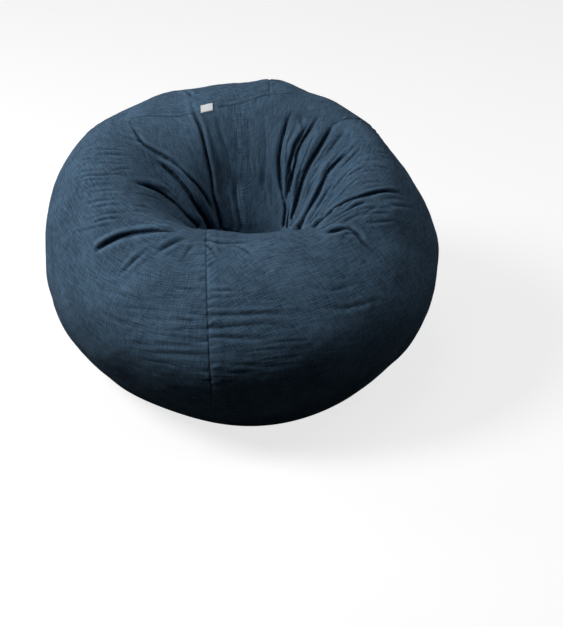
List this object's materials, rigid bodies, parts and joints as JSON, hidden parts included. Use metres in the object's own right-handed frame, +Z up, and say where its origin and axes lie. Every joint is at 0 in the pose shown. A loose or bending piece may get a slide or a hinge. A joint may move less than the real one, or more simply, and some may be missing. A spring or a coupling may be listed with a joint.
{
  "type": "bean bag chair",
  "caption": "Round bean bag chair in dark blue woven cloth: sewn panels over a zipped liner of loose beads, with a hollow seat inside a rolled rim that rises at the back.",
  "frame": {"origin": "on the floor, under the middle of the bag's width and depth", "axes": "+Z up; the seat opens towards -Y; +X is to the right as seen from the front"},
  "size_m": [1.0499, 1.0397, 0.6754],
  "materials": {
    "cover_cloth": "woven denim-like cloth, dark slate blue with paler slubs",
    "base_cloth": "the same woven cloth, wrong way up to the floor",
    "cover_thread": "matt sewing thread to match the cloth",
    "cover_zip_tape": "woven polyester tape",
    "cover_zip_coil": "nylon coil",
    "zip_metal": "dark lacquer on die-cast zinc",
    "label_cloth": "white satin-woven ribbon, blank",
    "liner_cloth": "plain white polyester cloth",
    "liner_thread": "white sewing thread",
    "liner_zip_tape": "white polyester tape",
    "liner_zip_coil": "white nylon coil",
    "beads": "expanded polystyrene beads"
  },
  "bodies": {
    "bag": {"back_seam_thread": "cover_thread", "base_centre_seam_thread": "cover_thread", "base_panel_back": "base_cloth", "base_panel_front": "base_cloth", "base_seam_thread": "cover_thread", "bead_fill": "beads", "cover_zip_coil_back": "cover_zip_coil", "cover_zip_coil_front": "cover_zip_coil", "cover_zip_stops": "zip_metal", "cover_zip_tape_back": "cover_zip_tape", "cover_zip_tape_front": "cover_zip_tape", "front_seam_thread": "cover_thread", "left_seam_thread": "cover_thread", "liner_base_back": "liner_cloth", "liner_base_front": "liner_cloth", "liner_centre_seam_thread": "liner_thread", "liner_seam_thread": "liner_thread", "liner_upper": "liner_cloth", "liner_zip_coil_back": "liner_zip_coil", "liner_zip_coil_front": "liner_zip_coil", "liner_zip_stops": "zip_metal", "liner_zip_tape_back": "liner_zip_tape", "liner_zip_tape_front": "liner_zip_tape", "right_seam_thread": "cover_thread", "side_panel_back_left": "cover_cloth", "side_panel_back_right": "cover_cloth", "side_panel_front_left": "cover_cloth", "side_panel_front_right": "cover_cloth", "top_panel": "cover_cloth", "top_seam_thread": "cover_thread"},
    "cover_slider": {"cover_zip_slider": "zip_metal"},
    "liner_slider": {"liner_zip_slider": "zip_metal"},
    "label": {"label": "label_cloth"}
  },
  "joints": [
    {"name": "cover_zip_slide", "type": "slide", "parent": "bag", "child": "cover_slider", "axis": [1, 0, 0], "range_m": [0, 0.5856]},
    {"name": "liner_zip_slide", "type": "slide", "parent": "bag", "child": "liner_slider", "axis": [1, 0, 0], "range_m": [0, 0.5856]},
    {"name": "label_turn", "type": "hinge", "parent": "bag", "child": "label", "pos_m": [-0.09001, 0.1849, 0.66524], "axis": [0.9511, 0.2955, 0.0903], "range_deg": [0, 180]}
  ]
}
